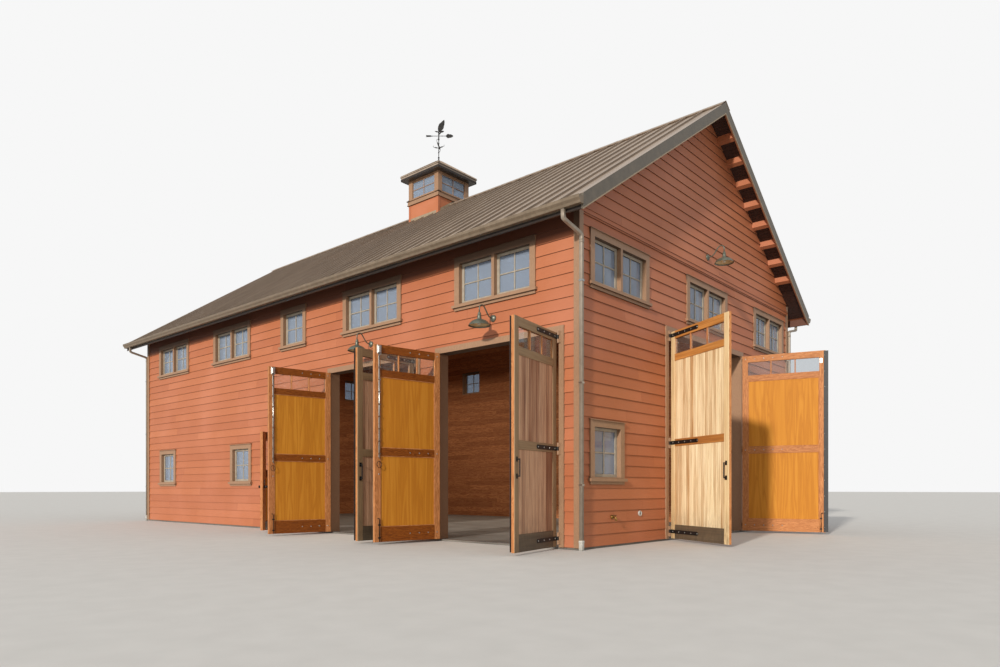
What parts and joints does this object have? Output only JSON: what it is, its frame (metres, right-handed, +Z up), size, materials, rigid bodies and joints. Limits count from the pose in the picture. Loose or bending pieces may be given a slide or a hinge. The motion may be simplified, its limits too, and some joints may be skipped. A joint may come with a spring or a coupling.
{
  "type": "timber barn",
  "caption": "Gabled timber barn with lapped siding, tall framed swing doors, a side door, standing-seam roof, glazed cupola and a turning wind vane.",
  "frame": {"origin": "centre of the plan at ground level, on the underside of the floor slab", "axes": "+Z up, +Y along the long walls from the front gable to the rear gable, +X to the right seen from the front"},
  "size_m": [10.4719, 16.8492, 10.56],
  "materials": {
    "slab": "smooth concrete",
    "siding": "painted lapped boards, satin",
    "trim": "painted timber, satin",
    "window_glass": "clear",
    "deck": "stained boards",
    "roofing": "bronze coated steel, satin",
    "gutter": "coated, satin",
    "downspout": "coated, satin",
    "lamp": "galvanised grey-green",
    "iron": "black, matt",
    "fittings": "brushed",
    "leaf": "clear finished fir and ply",
    "dark_door": "dark stain, satin"
  },
  "bodies": {
    "building": {"floor_slab": "slab", "left_wall_piers": "siding", "left_wall_upper": "siding", "left_wall_door_head": "siding", "front_wall_piers": "siding", "front_wall_gable": "siding", "right_wall": "siding", "rear_wall": "siding", "window_frames": "trim", "window_glass": "window_glass", "wall_trim": "trim", "door_casings": "trim", "roof_deck_left": "deck", "roof_deck_right": "deck", "roof_panels": "roofing", "ridge_cap": "roofing", "rake_boards": "roofing", "lookouts": "deck", "eave_boxes": "trim", "gutters": "gutter", "downspouts": "downspout", "gooseneck_lamps": "lamp", "cupola_base": "siding", "cupola_frames": "trim", "cupola_glass": "window_glass", "cupola_roof": "roofing", "vane_mast": "iron", "hinge_pintles": "iron", "wall_fittings": "fittings"},
    "far_left_door": {"far_left_leaf": "leaf", "far_left_glass": "window_glass", "far_left_straps": "iron"},
    "far_right_door": {"far_right_leaf": "leaf", "far_right_glass": "window_glass", "far_right_straps": "iron"},
    "near_left_door": {"near_left_leaf": "leaf", "near_left_glass": "window_glass", "near_left_straps": "iron"},
    "near_right_door": {"near_right_leaf": "leaf", "near_right_glass": "window_glass", "near_right_straps": "iron"},
    "front_left_door": {"front_left_leaf": "leaf", "front_left_glass": "window_glass", "front_left_straps": "iron"},
    "front_right_door": {"front_right_leaf": "leaf", "front_right_glass": "window_glass", "front_right_straps": "iron"},
    "side_door": {"walk_door": "dark_door", "walk_door_glass": "window_glass", "walk_door_hinges": "iron"},
    "vane": {"wind_vane": "iron"}
  },
  "joints": [
    {"name": "far_left_door_hinge", "type": "hinge", "parent": "building", "child": "far_left_door", "pos_m": [-4.335, -1.306, 1.6], "axis": [0, 0, -1], "range_deg": [-99, 21]},
    {"name": "far_right_door_hinge", "type": "hinge", "parent": "building", "child": "far_right_door", "pos_m": [-4.335, -3.902, 1.6], "axis": [0, 0, 1], "range_deg": [-92, 5]},
    {"name": "near_left_door_hinge", "type": "hinge", "parent": "building", "child": "near_left_door", "pos_m": [-4.335, -4.488, 1.6], "axis": [0, 0, -1], "range_deg": [-99, 5]},
    {"name": "near_right_door_hinge", "type": "hinge", "parent": "building", "child": "near_right_door", "pos_m": [-4.335, -7.084, 1.6], "axis": [0, 0, 1], "range_deg": [-101, 19]},
    {"name": "front_left_door_hinge", "type": "hinge", "parent": "building", "child": "front_left_door", "pos_m": [-1.583, -7.485, 1.6], "axis": [0, 0, -1], "range_deg": [-119, 16]},
    {"name": "front_right_door_hinge", "type": "hinge", "parent": "building", "child": "front_right_door", "pos_m": [1.583, -7.485, 1.6], "axis": [0, 0, 1], "range_deg": [-105, 30]},
    {"name": "side_door_hinge", "type": "hinge", "parent": "building", "child": "side_door", "pos_m": [-4.335, 0.506, 1.6], "axis": [0, 0, -1], "range_deg": [-60, 35]},
    {"name": "vane_spin", "type": "hinge", "parent": "building", "child": "vane", "pos_m": [0, 0, 10.1], "axis": [0, 0, 1], "continuous": true}
  ]
}
